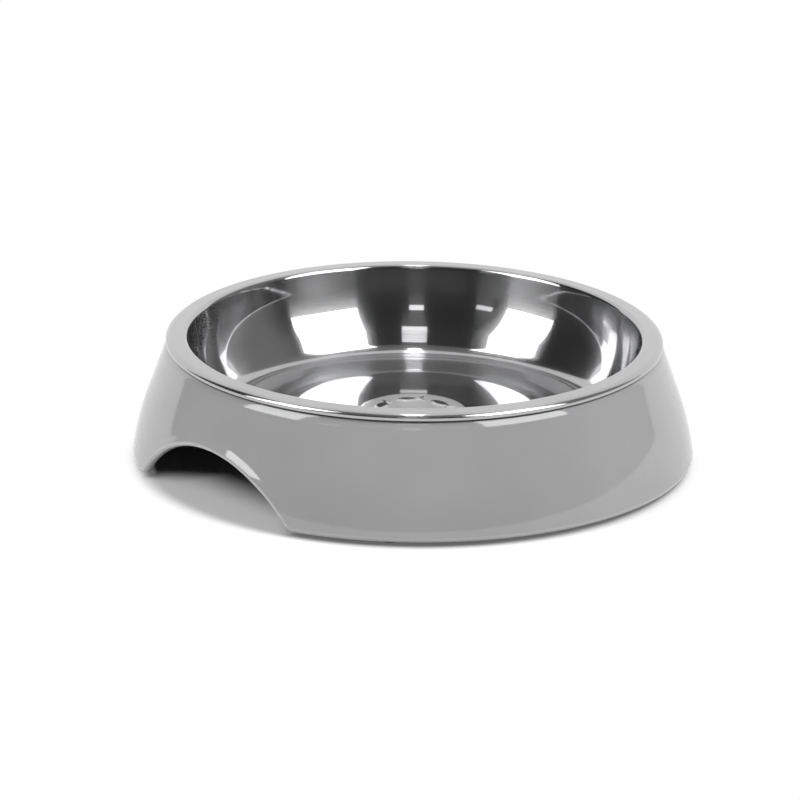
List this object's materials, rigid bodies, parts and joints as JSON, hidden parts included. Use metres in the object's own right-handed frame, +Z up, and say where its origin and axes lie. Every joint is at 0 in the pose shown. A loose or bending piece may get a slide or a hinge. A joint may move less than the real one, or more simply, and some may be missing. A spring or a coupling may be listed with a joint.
{
  "type": "cat bowl",
  "caption": "Round pet food bowl: a polished steel dish with a flat rim lifts out of a glossy tapered base ring with finger arches, on rubber feet.",
  "frame": {"origin": "on the floor, under the centre of the bowl", "axes": "+Z up along the bowl's axis, X through the two finger arches"},
  "size_m": [0.1674, 0.175, 0.0396],
  "materials": {
    "base_melamine": "gloss",
    "dish_steel": "polished",
    "foot_rubber": "matte"
  },
  "bodies": {
    "base": {"base_shell": "base_melamine", "rubber_foot_1": "foot_rubber", "rubber_foot_2": "foot_rubber", "rubber_foot_3": "foot_rubber", "rubber_foot_4": "foot_rubber"},
    "dish": {"steel_dish": "dish_steel"}
  },
  "joints": [
    {"name": "dish_lift", "type": "slide", "parent": "base", "child": "dish", "axis": [0, 0, 1], "range_m": [0, 0.045]}
  ]
}
